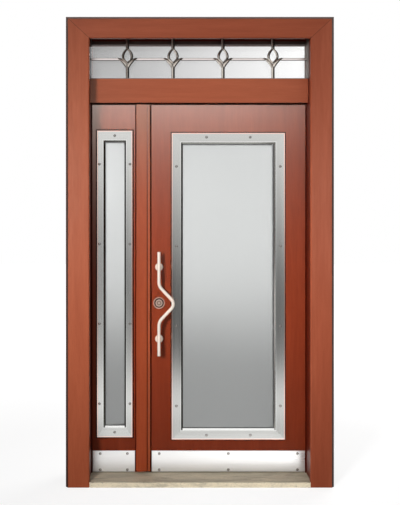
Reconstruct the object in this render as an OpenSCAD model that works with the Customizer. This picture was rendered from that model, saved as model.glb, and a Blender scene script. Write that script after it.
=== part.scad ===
// Entrance door set: a main leaf and a narrow side leaf with frosted glass,
// under a fanlight, in a rebated timber frame with mitred casings.
// Millimetres. X runs along the width, Y into the building, Z up.
// The origin is on the floor, at mid-width, in the plane of the wall's outer face.

/* [Door set] */
// Width over the outer casing
set_w = 1478; // [1360:1:1700]
// Height over the outer casing, from the floor
set_h = 2591; // [2540:1:2800]
// Thickness of the wall that the frame stands in
wall_t = 200; // [185:1:260]
// Visible height of the fanlight, from the rail to the casing's head
fan_h = 203; // [180:1:260]
// Visible width of the side leaf, from the stop to the cover strip
side_face_w = 257; // [220:1:360]

/* [Outer casing] */
// Face width of the casing's legs
casing_w = 131; // [95:1:150]
// Face width of the casing's head
casing_head_w = 120; // [105:1:150]
// Thickness of the outer casing
casing_t = 22; // [18:1:30]
// Width of the bevel along the casing's outer edge
casing_bevel_w = 14; // [6:1:24]
// Depth of the bevel along the casing's outer edge
casing_bevel_d = 14; // [5:1:16]
// Radius of the casing's inner edge
casing_round = 7; // [2:1:10]
// How far the casing's legs stand over the reveal
casing_overhang = 6; // [3:1:12]
// How far the casing's head hangs below the frame's head
head_overhang = 32; // [20:1:36]

/* [Inner casing] */
// Face width of the inner casing
inner_casing_w = 82; // [50:1:84]
// Thickness of the inner casing
inner_casing_t = 20; // [14:1:28]
// Strip of the frame left bare beside the inner casing
inner_reveal = 14; // [12:1:20]

/* [Frame] */
// Thickness of the frame at its stop
jamb_t = 50; // [44:1:60]
// How far a leaf reaches behind the stop and the cover strip
leaf_overlap = 12; // [8:1:14]
// Gap between a leaf's edge and the frame's rebate
edge_gap = 6; // [5:1:8]
// Gap between a leaf's outer face and the stop
stop_gap = 5; // [5:1:8]
// Height of the transom rail's face
rail_h = 135; // [110:1:150]
// Set-back of the rail's face from the wall's face
rail_setback = 80; // [66:1:90]
// Height of the stone threshold
threshold_h = 28; // [22:1:34]
// Edge rounding of the threshold, as a small bevel
threshold_bevel = 3; // [1:1:6]
// Diameter of the holes for the frame's wall screws
fixing_d = 10; // [8:1:12]
// Heights of the frame's wall screws
fixing_z = [430, 760, 1420, 1750];

/* [Leaves] */
// Thickness of both leaves
leaf_t = 68; // [60:1:74]
// Gap under the leaves
foot_gap = 5; // [5:1:9]
// Gap between the two leaves
meeting_gap = 9; // [9:1:12]
// Thickness of the leaves' glass
glass_t = 24; // [20:1:28]
// Depth of the glass behind the face of its trim
glass_recess = 14; // [12:1:18]
// Clearance round a sheet of glass
glass_gap = 3; // [2:1:4]

/* [Cover strip] */
// Width of the cover strip
strip_w = 80; // [70:1:90]
// How far the cover strip stands out from the leaf
strip_t = 20; // [12:1:26]
// Width of the bead along the strip's free edge
strip_bead_w = 10; // [8:1:18]
// Width and depth of the groove beside the bead
strip_groove = 6; // [2:1:8]
// Gap between the strip's foot and the threshold
strip_foot_gap = 12; // [8:1:16]

/* [Steel trims] */
// Distance from the leaf's lower edge to the main leaf's trim
trim_foot = 184; // [170:1:220]
// Distance from that trim to the leaf's upper edge
trim_head = 175; // [130:1:220]
// How much higher the side leaf's trim sits
side_trim_rise = 13; // [0:1:20]
// How far the trims stand out from the leaf
trim_out = 6; // [3:1:8]
// Distance from the main leaf's trim to the stop and to the cover strip
main_trim_margin = 121; // [100:1:170]
// Width of its four strips
main_strip_w = 55; // [45:1:60]
// Distance from the stop to the side leaf's trim
side_trim_inset = 32; // [24:1:40]
// Width of its upright strips
side_strip_w = 38; // [34:1:44]
// Width of its top and bottom strips
side_end_w = 57; // [50:1:64]
// Distance from the side leaf's trim to the cover strip
side_trim_margin = 21; // [12:1:30]
// Width of the bevel that leads down to the glass
lip_bevel = 8; // [5:1:10]
// Width of the lip that holds the glass, bevel included
lip_w = 12; // [11:1:15]
// Bevel along the trims' outer edges
trim_edge = 1.5; // [0.5:0.5:2.5]
// Width of the fine groove along a mitre
mitre_groove = 0.8; // [0.4:0.2:1.2]

/* [Kick plates] */
// Height of the kick plates
kick_h = 120; // [90:1:160]
// Thickness of the kick plates
kick_t = 3; // [2:0.5:4]
// Distance from a kick plate to the stop or the cover strip
kick_margin = 7; // [5:1:10]

/* [Pull bars] */
// Height of the pull bars' middle and of the lock above the floor
pull_z = 998; // [950:1:1050]
// Distance from the bar's axis to the cover strip
pull_inset = 50; // [45:1:70]
// Length of a pull bar
pull_len = 586; // [560:1:700]
// Diameter of a pull bar
pull_d = 18; // [14:1:22]
// Distance from the leaf's face to the bar's axis
pull_out = 60; // [45:1:70]
// Sideways reach of the bend, to the crossing of its two legs
bend_out = 94; // [80:1:96]
// Half height of the bend, to the crossing of leg and straight
bend_h = 100; // [96:1:108]
// Radius of the bar's middle bend
bend_r_mid = 38; // [30:1:42]
// Radius of the bar's outer bends
bend_r_end = 60; // [45:1:95]
// Distance between the two posts
post_pitch = 410; // [380:1:440]
// Diameter of a post
post_d = 16; // [12:1:18]
// Diameter of the disc at a post's foot
disc_d = 45; // [34:1:56]
// Thickness of the disc at a post's foot
disc_t = 5; // [3:1:8]

/* [Lock] */
// Diameter of the lock rosette
rosette_d = 68; // [56:1:76]
// Thickness of the lock rosette
rosette_t = 12; // [8:1:16]
// Width of the rosette's raised rim
rosette_rim = 6; // [4:1:8]
// Depth of the ring-shaped groove in the rosette
rosette_groove = 6; // [3:1:7]
// Diameter of the rosette's raised centre
rosette_boss_d = 42; // [36:1:44]
// Diameter of the lock cylinder
cylinder_d = 30; // [24:1:32]
// Height of the lock's face plate and strike
plate_h = 240; // [180:1:300]
// Width of the lock's face plate and strike
plate_w = 24; // [20:1:30]

/* [Hinges] */
// Height of a hinge
hinge_h = 100; // [80:1:140]
// Diameter of a hinge knuckle
knuckle_d = 16; // [14:1:18]
// Diameter of a hinge pin
pin_d = 8; // [6:1:10]
// Radial clearance between pin and knuckle
pin_gap = 0.05; // [0.03:0.01:0.08]
// Distance from the leaves' inner face to the pin's axis
pin_out = 11; // [10:1:12]
// Distance from a leaf's end to the middle of its nearest hinge
hinge_inset = 220; // [160:1:300]
// Thickness of a hinge flap
flap_t = 3; // [2.5:0.5:4]
// How far a hinge flap reaches into the door edge
flap_w = 42; // [30:1:50]
// Gap between two knuckles, along the pin
knuckle_gap = 0.6; // [0.4:0.1:1]

/* [Fanlight] */
// Thickness of the fanlight's glass
fan_glass_t = 10; // [6:1:14]
// Thickness of the metal lining round the fanlight's reveal
lining_t = 4; // [2:1:5]
// Set-back of the lining from the wall's face
lining_setback = 48; // [40:1:58]
// Height of the metal box along the top of the fanlight's glass
fan_box_h = 33; // [20:1:36]
// Depth of that box
fan_box_d = 12; // [10:1:30]
// Depth of the beads behind the fanlight's glass
fan_bead_d = 24; // [16:1:36]
// Places of the four rods along the fanlight, as shares of its width
rod_at = [0.17, 0.38, 0.61, 0.84];
// Width of a rod's lozenge section
rod_w = 20; // [14:1:22]
// Depth of a rod's lozenge section
rod_d = 13; // [12:1:16]
// Height of the horizontal bar's middle above the rail
bar_z = 114; // [100:1:120]
// Height of the horizontal bar
bar_h = 14; // [8:1:18]
// Thickness of the horizontal bar
bar_t = 6; // [4:1:8]
// Height of the ornament's loop, between its centre lines
loop_h = 79; // [66:1:84]
// Width of the ornament's loop, between its centre lines
loop_w = 50; // [44:1:60]
// Width of the loop's strands at their widest
strand_w = 15; // [9:1:18]
// Width over the tips of the ornament's two petals
petal_span = 112; // [100:1:130]
// Width of a petal at its widest
petal_w = 20; // [14:1:24]

/* [Hidden] */
$fn = 48;

// Frame lines, measured from the middle of the width
half_w = set_w / 2;
casing_edge_x = half_w - casing_w;
casing_edge_z = set_h - casing_head_w;
stop_x = casing_edge_x + casing_overhang;
rebate_w = leaf_overlap + edge_gap;
rebate_x = stop_x + rebate_w;
jamb_x = stop_x + jamb_t;
head_z = casing_edge_z + head_overhang;
head_top_z = head_z + jamb_t;
rail_top_z = casing_edge_z - fan_h;
door_h = rail_top_z - rail_h;
inner_casing_x = rebate_x + inner_reveal;
inner_head_w = set_h - head_z - rebate_w - inner_reveal;

// Depths, measured from the wall's outer face
leaf_y = wall_t - leaf_t;
stop_y = leaf_y - stop_gap;
glass_y = leaf_y - trim_out + glass_recess;
fan_glass_y = stop_y + glass_gap;
lining_x = stop_x - lining_t;
fan_box_z = head_z - fan_box_h;
sill_z = rail_top_z + lining_t;

// Leaves
leaf_z0 = threshold_h + foot_gap;
leaf_z1 = door_h + leaf_overlap;
strip_x0 = side_face_w - stop_x;
strip_x1 = strip_x0 + strip_w;
main_x0 = strip_x1 - leaf_overlap;
main_x1 = stop_x + leaf_overlap;
side_x0 = -main_x1;
side_x1 = main_x0 - meeting_gap;

// Steel trims
trim_z0 = leaf_z0 + trim_foot;
trim_h = leaf_z1 - trim_head - trim_z0;
main_trim_x0 = strip_x1 + main_trim_margin;
main_trim_w = stop_x - main_trim_margin - main_trim_x0;
side_trim_x0 = side_trim_inset - stop_x;
side_trim_w = strip_x0 - side_trim_margin - side_trim_x0;
lip_back_w = lip_w - lip_bevel;

// Hardware
pull_x = strip_x1 + pull_inset;
pin_x = stop_x + leaf_overlap + edge_gap / 2;
pin_y = wall_t + pin_out;
hinge_zs = [leaf_z0 + hinge_inset, (leaf_z0 + leaf_z1) / 2, leaf_z1 - hinge_inset];
knuckle_h = hinge_h / 3;
plate_t = 3;
plate_y = leaf_y + leaf_t / 2;
cylinder_play = 0.2;
keyway_w = 3;
keyway_h = 10;
keyway_depth = 4;
latch_size = [14, 34];
latch_rise = 40;
bolt_h = 50;
pocket_depth = 15;
bolt_d = 10;
bolt_play = 0.3;
bolt_reach = 10;
bolt_len = 70;
bolt_inset = 18;

// Fanlight grille
rod_y = rail_setback + rod_d / 2 + 3;
bar_mid_z = rail_top_z + bar_z;
inner_bevel = 6;
inner_round = 5;
mitre_reach = 2 * casing_t;
loop_foot = -0.28 * loop_h;
loop_top = loop_h + loop_foot;
petal_foot = -0.6 * loop_h;
petal_t = 12;
petal_tip_w = 1.5;
petal_ridge = 0.35;
bar_lap = 12;

// ---------------------------------------------------------------- helpers

// A bar along X, Y or Z given by its two corners
module block(a, b) {
    translate(a) cube(b - a);
}

// A flat plate that stands on its back face, with all four front edges bevelled.
// Its back lies in the plane y = 0 and its front in y = -t.
module bevelled_plate(w, h, t, edge) {
    intersection() {
        linear_extrude(height = h)
            polygon([[0, 0], [0, edge - t], [edge, -t], [w - edge, -t], [w, edge - t], [w, 0]]);
        rotate([90, 0, 90]) linear_extrude(height = w)
            polygon([[0, 0], [edge - t, 0], [-t, edge], [-t, h - edge], [edge - t, h], [0, h]]);
    }
}

// The space inside a rectangular trim: straight at the back, widening along the bevel to the front
module trim_space(w, h, front, back, bevel) {
    intersection() {
        translate([0, 0, -1]) linear_extrude(height = h + 2)
            polygon([[bevel, back], [bevel, bevel - front], [0, -front], [-1, -front - 1],
                     [w + 1, -front - 1], [w, -front], [w - bevel, bevel - front], [w - bevel, back]]);
        translate([-1, 0, 0]) rotate([90, 0, 90]) linear_extrude(height = w + 2)
            polygon([[back, bevel], [bevel - front, bevel], [-front, 0], [-front - 1, -1],
                     [-front - 1, h + 1], [-front, h], [bevel - front, h - bevel], [back, h - bevel]]);
    }
}

// A mitred steel trim round a sheet of glass. Its plate lies on the leaf's face, y = 0, and its lip
// reaches back to the glass at y = lip_back.
module trim(w, strip, end_strip, lip_back) {
    inner_w = w - 2 * strip;
    inner_h = trim_h - 2 * end_strip;
    difference() {
        union() {
            bevelled_plate(w, trim_h, trim_out, trim_edge);
            block([strip - lip_back_w, -trim_out / 2, end_strip - lip_back_w],
                  [w - strip + lip_back_w, lip_back, trim_h - end_strip + lip_back_w]);
        }
        translate([strip, 0, end_strip])
            trim_space(inner_w, inner_h, trim_out, lip_back + 1, lip_bevel);
        for (sx = [0, 1], sz = [0, 1])
            translate([sx * w, 0, sz * trim_h]) mirror([sx, 0, 0]) mirror([0, 0, sz])
                rotate([0, -atan2(end_strip, strip), 0])
                    translate([-mitre_groove, -trim_out - mitre_groove, -mitre_groove / 2])
                        cube([norm([strip, end_strip]) + mitre_groove, 1.5 * mitre_groove, mitre_groove]);
    }
}

// Where the leaf is cut out for the glass of a trim
module glass_cutout(x0, w, strip, end_strip) {
    block([x0 + strip - lip_back_w, leaf_y - 1, trim_z0 + end_strip - lip_back_w],
          [x0 + w - strip + lip_back_w, wall_t + 1, trim_z0 + trim_h - end_strip + lip_back_w]);
}

module glass_sheet(x0, w, strip, end_strip) {
    edge = lip_back_w - glass_gap;
    block([x0 + strip - edge, glass_y, trim_z0 + end_strip - edge],
          [x0 + w - strip + edge, glass_y + glass_t, trim_z0 + trim_h - end_strip + edge]);
}

// A trim on the outer face of a leaf, its left lower corner at x0
module outer_trim(x0, w, strip, end_strip) {
    translate([x0, leaf_y, trim_z0]) trim(w, strip, end_strip, glass_y - leaf_y);
}

module inner_trim(x0, w, strip, end_strip) {
    translate([x0, wall_t, trim_z0]) mirror([0, 1, 0])
        trim(w, strip, end_strip, wall_t - glass_y - glass_t);
}

// A casing profile: bevelled outer edge at the left, rounded inner edge at the right,
// back in the plane y = 0 and front in y = -t
function casing_profile(w, t, bevel_w, bevel_d, r) = concat(
    [[0, 0], [0, bevel_d - t], [bevel_w, -t]],
    [for (a = [0 : 15 : 90]) [w - r + r * sin(a), r - t - r * cos(a)]],
    [[w, 0]]
);

// One leg of a casing at the left of the opening, mitred at its top from corner to corner
module casing_leg(outer_x, top, w, head_w, profile) {
    intersection() {
        translate([outer_x, 0, 0]) linear_extrude(height = top) polygon(profile);
        rotate([90, 0, 0]) translate([0, 0, -mitre_reach]) linear_extrude(height = 2 * mitre_reach)
            polygon([[outer_x, 0], [outer_x + w, 0], [outer_x + w, top - head_w], [outer_x, top]]);
    }
}

// The head of a casing, mitred at both ends
module casing_top(half, top, w, head_w, profile) {
    intersection() {
        translate([-half, 0, top]) rotate([90, 0, 90]) linear_extrude(height = 2 * half)
            polygon([for (p = profile) [p[1], -p[0]]]);
        rotate([90, 0, 0]) translate([0, 0, -mitre_reach]) linear_extrude(height = 2 * mitre_reach)
            polygon([[-half, top], [-half + w, top - head_w], [half - w, top - head_w], [half, top]]);
    }
}

// ---------------------------------------------------------------- frame

module threshold() {
    casing_gap = 0.3;
    color("tan") {
        nose = casing_edge_x - casing_gap;
        union() {
            translate([-nose, 0, 0]) rotate([90, 0, 90]) linear_extrude(height = 2 * nose)
                polygon([[-casing_t, 0], [-casing_t, threshold_h - threshold_bevel],
                         [threshold_bevel - casing_t, threshold_h], [1, threshold_h], [1, 0]]);
            difference() {
                union() {
                    block([-stop_x, 0, 0], [stop_x, stop_y + 1, threshold_h]);
                    block([-rebate_x, stop_y, 0], [rebate_x, wall_t, threshold_h]);
                }
                translate([bolt_x(), plate_y, threshold_h - bolt_reach - 2])
                    cylinder(d = bolt_d + 1, h = bolt_reach + 3);
            }
        }
    }
}

module jamb(fixings = true) {
    difference() {
        linear_extrude(height = head_top_z)
            polygon([[stop_x, 0], [jamb_x, 0], [jamb_x, wall_t], [rebate_x, wall_t],
                     [rebate_x, stop_y], [stop_x, stop_y]]);
        for (z = hinge_zs) flap_pocket(z, rebate_x);
        for (z = fixing_z)
            translate([rebate_x - 1, (stop_y + wall_t) / 2, z]) rotate([0, 90, 0])
                cylinder(d = fixing_d, h = jamb_x - rebate_x + 2);
    }
}

module jamb_right() { color("saddlebrown") jamb(); }
module jamb_left() { color("saddlebrown") mirror([1, 0, 0]) jamb(); }

module frame_head() {
    color("saddlebrown") union() {
        block([-stop_x, 0, head_z], [stop_x, stop_y + 1, head_top_z]);
        block([-rebate_x, stop_y, head_z + rebate_w], [rebate_x, wall_t, head_top_z]);
    }
}

module transom_rail() {
    color("sienna") difference() {
        union() {
            block([-stop_x, rail_setback, door_h], [stop_x, stop_y + 1, rail_top_z]);
            block([-rebate_x, stop_y, door_h + rebate_w], [rebate_x, wall_t, rail_top_z - rebate_w]);
        }
        translate([bolt_x(), plate_y, door_h + rebate_w - 1])
            cylinder(d = bolt_d + 1, h = leaf_z1 + edge_gap + bolt_reach + 3 - door_h - rebate_w);
    }
}

// ---------------------------------------------------------------- casings

outer_profile = casing_profile(casing_w, casing_t, casing_bevel_w, casing_bevel_d, casing_round);
outer_head_profile =
    casing_profile(casing_head_w, casing_t, casing_bevel_w, casing_bevel_d, casing_round);
inner_profile = casing_profile(inner_casing_w, inner_casing_t, inner_bevel, inner_bevel, inner_round);
inner_head_profile =
    casing_profile(inner_head_w, inner_casing_t, inner_bevel, inner_bevel, inner_round);

module casing_left() {
    color("sienna") casing_leg(-half_w, set_h, casing_w, casing_head_w, outer_profile);
}
module casing_right() { mirror([1, 0, 0]) casing_left(); }
module casing_head() {
    color("sienna") casing_top(half_w, set_h, casing_w, casing_head_w, outer_head_profile);
}

module on_inner_wall() { translate([0, wall_t, 0]) mirror([0, 1, 0]) children(); }

module inner_casing_left() {
    color("sienna") on_inner_wall()
        casing_leg(-inner_casing_x - inner_casing_w, set_h, inner_casing_w, inner_head_w, inner_profile);
}
module inner_casing_right() { mirror([1, 0, 0]) inner_casing_left(); }
module inner_casing_head() {
    color("sienna") on_inner_wall()
        casing_top(inner_casing_x + inner_casing_w, set_h, inner_casing_w, inner_head_w,
                   inner_head_profile);
}

// ---------------------------------------------------------------- fanlight

// The head of the lining is a box in front of the glass. The sides lie on the reveal.
module fan_lining_head() {
    color("dimgray")
        block([-lining_x, fan_glass_y - fan_box_d, fan_box_z], [lining_x, fan_glass_y, head_z]);
}
module fan_lining_right() {
    color("gray") difference() {
        block([lining_x, lining_setback, rail_top_z], [stop_x, fan_glass_y, head_z]);
        block([lining_x - 1, rail_setback + 2, rail_top_z - 1], [stop_x + 1, fan_glass_y + 1, sill_z]);
    }
}
module fan_lining_left() { mirror([1, 0, 0]) fan_lining_right(); }
module fan_lining_sill() {
    color("gray") block([-stop_x, rail_setback + 2, rail_top_z], [stop_x, fan_glass_y, sill_z]);
}

module fan_glass() {
    edge = rebate_w - glass_gap;
    color("lightgray", 0.6)
        block([-stop_x - edge, fan_glass_y, rail_top_z - edge],
              [stop_x + edge, fan_glass_y + fan_glass_t, head_z + edge]);
}

module fan_beads() {
    y0 = fan_glass_y + fan_glass_t;
    color("saddlebrown") difference() {
        block([-rebate_x, y0, rail_top_z - rebate_w], [rebate_x, y0 + fan_bead_d, head_z + rebate_w]);
        block([-lining_x, y0 - 1, sill_z], [lining_x, y0 + fan_bead_d + 1, fan_box_z]);
    }
}

function rod_x(i) = (2 * rod_at[i - 1] - 1) * stop_x;

// The horizontal bar is five lengths, which end behind the tips of the petals
module fan_bar() {
    y0 = rod_y + petal_t / 2;
    reach = petal_span / 2 - bar_lap;
    color("gainsboro") for (i = [0 : 4])
        block([i == 0 ? -lining_x : rod_x(i) + reach, y0, bar_mid_z - bar_h / 2],
              [i == 4 ? lining_x : rod_x(i + 1) - reach, y0 + bar_t, bar_mid_z + bar_h / 2]);
}

// Point at t on a cubic curve through four control points
function curve(p, t) =
    pow(1 - t, 3) * p[0] + 3 * t * pow(1 - t, 2) * p[1] + 3 * t * t * (1 - t) * p[2] + pow(t, 3) * p[3];
function heading(p, t) =
    3 * pow(1 - t, 2) * (p[1] - p[0]) + 6 * t * (1 - t) * (p[2] - p[1]) + 3 * t * t * (p[3] - p[2]);

// Half the width of a strand at t. It runs from w[0] over w[1] in the middle to w[2].
function half_width(w, t) =
    (w[0] * pow(1 - t, 2) + (4 * w[1] - w[0] - w[2]) * t * (1 - t) + w[2] * t * t) / 2;

// A strand of lozenge section along a curve in the X-Z plane. Its thickness is the same all along,
// and its two ridges lie off its centre line by a share of its half width.
module strand(p, w, ridge = 0, steps = 12) {
    rings = [for (i = [0 : steps])
        let (t = i / steps, c = curve(p, t), d = heading(p, t) / norm(heading(p, t)),
             middle = [c[0], 0, c[1]], side = half_width(w, t) * [d[1], 0, -d[0]],
             crest = middle + ridge * side, rise = [0, petal_t / 2, 0])
        each [middle - side, crest + rise, middle + side, crest - rise]];
    polyhedron(rings, concat(
        [[3, 2, 1, 0]],
        [for (i = [0 : steps - 1], k = [0 : 3])
            [4 * i + k, 4 * i + (k + 1) % 4, 4 * i + 4 + (k + 1) % 4, 4 * i + 4 + k]],
        [[for (k = [0 : 3]) 4 * steps + k]]), convexity = 4);
}

// One half of the tulip: a side of the pointed loop, and the petal below it
// All control points are shares of the loop's height and width, and of the petals' span.
module half_tulip() {
    belly = [loop_w / 2, 0.13 * loop_h];
    tip = [petal_span / 2, 0.06 * loop_h];
    strand([[0, loop_top], [0.28 * loop_w, 0.81 * loop_top], [0.54 * loop_w, 0.46 * loop_top], belly],
           [0.7 * strand_w, strand_w, strand_w]);
    strand([belly, belly - [0, 0.15 * loop_h], [0.24 * loop_w, -0.165 * loop_h], [0, loop_foot]],
           [strand_w, 0.85 * strand_w, 0.7 * strand_w]);
    strand([tip, [0.68 * tip[0], 0.03 * loop_h], [0.14 * tip[0], -0.3 * loop_h],
            [0.05 * tip[0], petal_foot]],
           [petal_tip_w, petal_w, 0.9 * petal_w], -petal_ridge);
}

module tulip_rod(i) {
    color("silver") translate([rod_x(i), rod_y, 0]) union() {
        rod_length(sill_z, bar_mid_z + 0.9 * petal_foot);
        rod_length(bar_mid_z + loop_top - strand_w / 3, head_z);
        translate([0, 0, bar_mid_z]) {
            half_tulip();
            mirror([1, 0, 0]) half_tulip();
        }
    }
}
module rod_length(z0, z1) {
    translate([0, 0, z0]) linear_extrude(height = z1 - z0)
        polygon([[-rod_w / 2, 0], [0, -rod_d / 2], [rod_w / 2, 0], [0, rod_d / 2]]);
}

module fan_rod_1() { tulip_rod(1); }
module fan_rod_2() { tulip_rod(2); }
module fan_rod_3() { tulip_rod(3); }
module fan_rod_4() { tulip_rod(4); }

// ---------------------------------------------------------------- leaves

module side_leaf() {
    color("brown") difference() {
        block([side_x0, leaf_y, leaf_z0], [side_x1, wall_t, leaf_z1]);
        side_up() glass_cutout(side_trim_x0, side_trim_w, side_strip_w, side_end_w);
        for (z = hinge_zs) mirror([1, 0, 0]) flap_pocket(z, main_x1 - flap_t);
        plate_pocket(side_x1 - plate_t, side_x1 + 1);
        lock_pockets(pocket_depth);
        for (s = [0, 1]) flush_bolt_space(s);
    }
}

module main_leaf() {
    color("brown") difference() {
        block([main_x0, leaf_y, leaf_z0], [main_x1, wall_t, leaf_z1]);
        glass_cutout(main_trim_x0, main_trim_w, main_strip_w, main_strip_w);
        for (z = hinge_zs) flap_pocket(z, main_x1 - flap_t);
        plate_pocket(main_x0 - 1, main_x0 + plate_t);
        translate([pull_x, leaf_y - 1, pull_z]) rotate([-90, 0, 0])
            cylinder(d = cylinder_d + 2 * cylinder_play, h = leaf_t + 2);
    }
}

// The side leaf's trims and glass sit higher than the main leaf's
module side_up() { translate([0, 0, side_trim_rise]) children(); }

module side_glass() {
    color("lightgray", 0.6) side_up() glass_sheet(side_trim_x0, side_trim_w, side_strip_w, side_end_w);
}
module main_glass() {
    color("lightgray", 0.6) glass_sheet(main_trim_x0, main_trim_w, main_strip_w, main_strip_w);
}

module side_trim_outer() {
    color("silver") side_up() outer_trim(side_trim_x0, side_trim_w, side_strip_w, side_end_w);
}
module side_trim_inner() {
    color("silver") side_up() inner_trim(side_trim_x0, side_trim_w, side_strip_w, side_end_w);
}
module main_trim_outer() {
    color("silver") outer_trim(main_trim_x0, main_trim_w, main_strip_w, main_strip_w);
}
module main_trim_inner() {
    color("silver") inner_trim(main_trim_x0, main_trim_w, main_strip_w, main_strip_w);
}

module kick_plate(x0, x1) {
    translate([x0, leaf_y, leaf_z0]) bevelled_plate(x1 - x0, kick_h, kick_t, kick_t - 1);
}
module on_inner_face() { translate([0, leaf_y + wall_t, 0]) mirror([0, 1, 0]) children(); }

module side_kick_outer() {
    color("gainsboro") kick_plate(kick_margin - stop_x, strip_x0 - kick_margin);
}
module side_kick_inner() {
    color("gainsboro") on_inner_face() kick_plate(kick_margin - stop_x, side_x1 - kick_margin);
}
module main_kick_outer() {
    color("gainsboro") kick_plate(strip_x1 + kick_margin, stop_x - kick_margin);
}
module main_kick_inner() {
    color("gainsboro") on_inner_face() kick_plate(main_x0 + kick_margin, stop_x - kick_margin);
}

// The cover strip is fixed to the side leaf and stands clear of the main leaf, which it covers
module cover_strip() {
    groove_x = strip_x1 - strip_bead_w;
    front = leaf_y - strip_t;
    z0 = threshold_h + strip_foot_gap;
    color("peru") translate([0, 0, z0]) linear_extrude(height = door_h - stop_gap - z0)
        polygon([[strip_x0, leaf_y], [strip_x0, front + 2], [strip_x0 + 2, front],
                 [groove_x - strip_groove, front], [groove_x - strip_groove, front + strip_groove],
                 [groove_x, front + strip_groove], [groove_x, front], [strip_x1 - 3, front],
                 [strip_x1, front + 3], [strip_x1, stop_y], [side_x1, stop_y], [side_x1, leaf_y]]);
}

// ---------------------------------------------------------------- hinges

// The recess that holds a hinge flap flush in an edge whose face is at x
module flap_pocket(z, x) {
    translate([x, wall_t - flap_w, z - hinge_h / 2]) cube([flap_t, flap_w + 1, hinge_h]);
}

// The frame's half of a hinge: flap, the two outer knuckles and the pin
module hinge_frame_half(z) {
    translate([0, 0, z - hinge_h / 2]) union() {
        translate([rebate_x, wall_t - flap_w, 0]) cube([flap_t, flap_w - 1, hinge_h]);
        for (zk = [0, 2 * knuckle_h]) {
            translate([rebate_x, wall_t - 2, zk]) cube([flap_t, pin_out, knuckle_h]);
            translate([pin_x, pin_y, zk]) cylinder(d = knuckle_d, h = knuckle_h);
        }
        translate([pin_x, pin_y, 0]) cylinder(d = pin_d, h = hinge_h);
    }
}

// The leaf's half: flap and the middle knuckle, which turns on the pin
module hinge_leaf_half(z) {
    z0 = knuckle_h + knuckle_gap;
    h = knuckle_h - 2 * knuckle_gap;
    translate([0, 0, z - hinge_h / 2]) difference() {
        union() {
            translate([main_x1 - flap_t, wall_t - flap_w, 0]) cube([flap_t, flap_w - 1, hinge_h]);
            translate([main_x1 - flap_t, wall_t - 2, z0]) cube([flap_t, pin_out, h]);
            translate([pin_x, pin_y, z0]) cylinder(d = knuckle_d, h = h);
        }
        translate([pin_x, pin_y, -1]) cylinder(d = pin_d + 2 * pin_gap, h = hinge_h + 2);
    }
}

module main_hinge_posts() { color("silver") for (z = hinge_zs) hinge_frame_half(z); }
module main_hinge_flaps() { color("silver") for (z = hinge_zs) hinge_leaf_half(z); }
module side_hinges() {
    color("silver") mirror([1, 0, 0]) for (z = hinge_zs) {
        hinge_frame_half(z);
        hinge_leaf_half(z);
    }
}

// ---------------------------------------------------------------- locks and bolts

// The recess for a face plate in a leaf's meeting edge, from x0 to x1
module plate_pocket(x0, x1) {
    block([x0, plate_y - plate_w / 2, pull_z - plate_h / 2],
          [x1, plate_y + plate_w / 2, pull_z + plate_h / 2]);
}

// The holes that the lock's latch and bolt shoot into, from the side leaf's edge inwards
module lock_pockets(depth) {
    translate([side_x1 - depth, plate_y - latch_size[0] / 2, pull_z + latch_rise])
        cube([depth + 1, latch_size[0], latch_size[1]]);
    translate([side_x1 - depth, plate_y - latch_size[0] / 2, pull_z - latch_rise - bolt_h])
        cube([depth + 1, latch_size[0], bolt_h]);
}

module lock_faceplate() {
    color("silver") intersection() {
        block([main_x0, leaf_y, leaf_z0], [main_x0 + plate_t, wall_t, leaf_z1]);
        plate_pocket(main_x0 - 1, main_x0 + plate_t);
    }
}

module strike_plate() {
    color("silver") difference() {
        intersection() {
            block([side_x1 - plate_t, leaf_y, leaf_z0], [side_x1, wall_t, leaf_z1]);
            plate_pocket(side_x1 - plate_t, side_x1 + 1);
        }
        lock_pockets(pocket_depth);
    }
}

function bolt_x() = side_x1 - bolt_inset;

// The bore for a flush bolt in the side leaf's top (s = 0) or foot (s = 1)
module flush_bolt_space(s) {
    z = s == 0 ? leaf_z1 - bolt_len : leaf_z0 - 1;
    translate([bolt_x(), plate_y, z]) cylinder(d = bolt_d + 2 * bolt_play, h = bolt_len + 1);
}

module flush_bolts() {
    color("silver") {
        translate([bolt_x(), plate_y, leaf_z1 - bolt_len])
            cylinder(d = bolt_d, h = bolt_len + edge_gap + bolt_reach);
        translate([bolt_x(), plate_y, threshold_h - bolt_reach])
            cylinder(d = bolt_d, h = bolt_len + foot_gap + bolt_reach);
    }
}

// One side of the lock rosette: a disc with a ring-shaped groove, its back in the plane y = 0
module rosette() {
    rim_r = rosette_d / 2;
    groove_r = rim_r - rosette_rim;
    boss_r = rosette_boss_d / 2;
    hole_r = cylinder_d / 2 + cylinder_play;
    floor_t = rosette_t - rosette_groove;
    rotate([90, 0, 0]) rotate_extrude()
        polygon([[hole_r, 0], [rim_r, 0], [rim_r, rosette_t - 3], [rim_r - 2, rosette_t],
                 [groove_r, rosette_t], [groove_r, floor_t], [boss_r, floor_t],
                 [boss_r, rosette_t - 2], [boss_r - 2, rosette_t], [hole_r, rosette_t]]);
}

module lock_rosette_outer() { color("silver") translate([pull_x, leaf_y, pull_z]) rosette(); }
module lock_rosette_inner() {
    color("silver") translate([pull_x, wall_t, pull_z]) mirror([0, 1, 0]) rosette();
}

// The lock cylinder runs through the leaf and both rosettes, with a keyway in each end
module lock_cylinder() {
    y0 = leaf_y - rosette_t;
    len = leaf_t + 2 * rosette_t;
    color("darkgray") difference() {
        translate([pull_x, y0, pull_z]) rotate([-90, 0, 0]) cylinder(d = cylinder_d, h = len);
        for (y = [y0 - 1, y0 + len - keyway_depth])
            translate([pull_x - keyway_w / 2, y, pull_z - keyway_h / 2])
                cube([keyway_w, keyway_depth + 1, keyway_h]);
    }
}

// ---------------------------------------------------------------- pull bars

leg_angle = atan2(bend_out, bend_h);
end_run = bend_r_end * tan(leg_angle / 2);
bar_steps = 7;
bar_sides = 20;
bar_edge = 2;

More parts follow.
